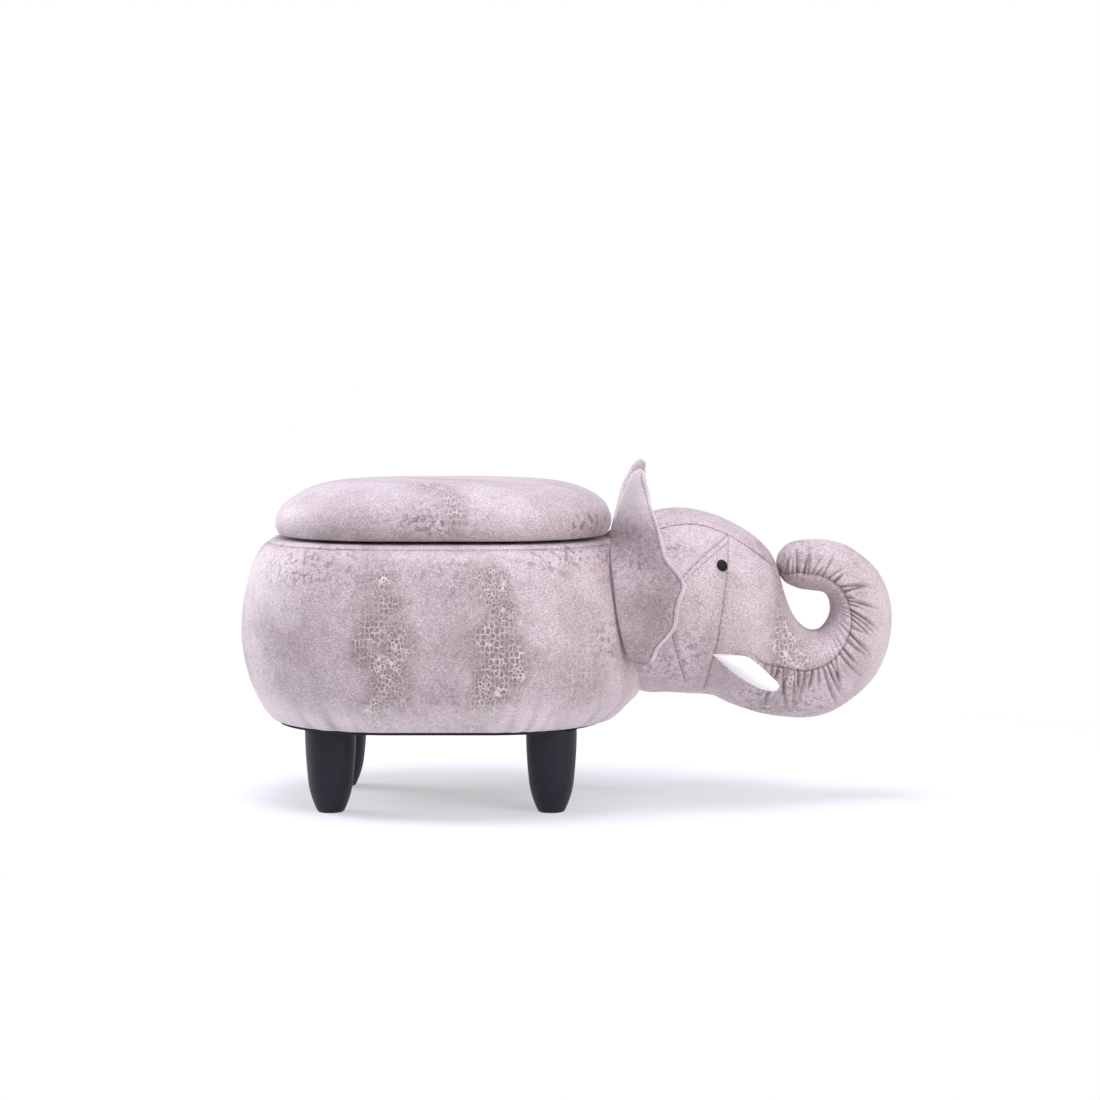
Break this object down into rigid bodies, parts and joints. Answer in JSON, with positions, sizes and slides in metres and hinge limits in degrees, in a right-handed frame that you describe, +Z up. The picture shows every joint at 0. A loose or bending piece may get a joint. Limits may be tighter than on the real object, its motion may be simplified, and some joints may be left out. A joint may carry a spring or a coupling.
{
  "type": "animal-shaped storage ottoman",
  "caption": "Elephant-shaped padded storage ottoman: oval tub on turned legs under a hinged padded lid, with a stuffed head, curled trunk, ears, tusks and button eyes.",
  "frame": {"origin": "on the floor under the middle of the overall length, in the plane of symmetry", "axes": "+X towards the head, +Z up, so +Y is the animal's left, where the lid is hinged"},
  "size_m": [0.719, 0.386, 0.371],
  "materials": {
    "leatherette": "grained matt leatherette, pinkish grey",
    "white_leatherette": "smooth white leatherette",
    "painted_wood": "blue-black satin paint on turned wood",
    "plywood": "bare birch plywood",
    "pine": "planed pine",
    "foam": "open-cell polyurethane foam",
    "stuffing": "polyester fibre filling",
    "lining_cloth": "plain woven polyester lining",
    "dust_cloth": "black non-woven felt",
    "steel": "zinc-plated steel",
    "rubber": "soft moulded rubber",
    "eye_plastic": "polished black moulding",
    "washer_plastic": "natural moulded nylon"
  },
  "bodies": {
    "tub": {"base_board": "plywood", "base_screws": "steel", "body_cover": "leatherette", "box_lining": "lining_cloth", "dust_cover": "dust_cloth", "ear_left": "leatherette", "ear_right": "leatherette", "eye_left": "eye_plastic", "eye_right": "eye_plastic", "eye_washers": "washer_plastic", "foam_front": "foam", "foam_left": "foam", "foam_rear": "foam", "foam_right": "foam", "head_cover": "leatherette", "head_stuffing": "stuffing", "hinge_pin_front": "steel", "hinge_pin_rear": "steel", "hinge_tub_leaf_front": "steel", "hinge_tub_leaf_rear": "steel", "hinge_tub_screws": "steel", "leg_bolts": "steel", "leg_front_left": "painted_wood", "leg_front_right": "painted_wood", "leg_inserts": "steel", "leg_rear_left": "painted_wood", "leg_rear_right": "painted_wood", "neck_block": "pine", "neck_screws": "steel", "panel_front": "plywood", "panel_left": "plywood", "panel_rear": "plywood", "panel_right": "plywood", "rail_screws": "steel", "rim_bumpers": "rubber", "rim_rail_front": "plywood", "rim_rail_left": "plywood", "rim_rail_rear": "plywood", "rim_rail_right": "plywood", "trunk_cover": "leatherette", "trunk_stuffing": "stuffing", "tusk_left": "white_leatherette", "tusk_right": "white_leatherette"},
    "lid": {"lid_board": "plywood", "lid_foam": "foam", "lid_cover": "leatherette", "lid_lining": "lining_cloth", "hinge_lid_leaf_front": "steel", "hinge_lid_leaf_rear": "steel", "hinge_lid_screws": "steel"}
  },
  "joints": [
    {"name": "lid_hinge", "type": "hinge", "parent": "tub", "child": "lid", "pos_m": [-0.1385, 0.1552, 0.2938], "axis": [-1, 0, 0], "range_deg": [0, 100]}
  ]
}
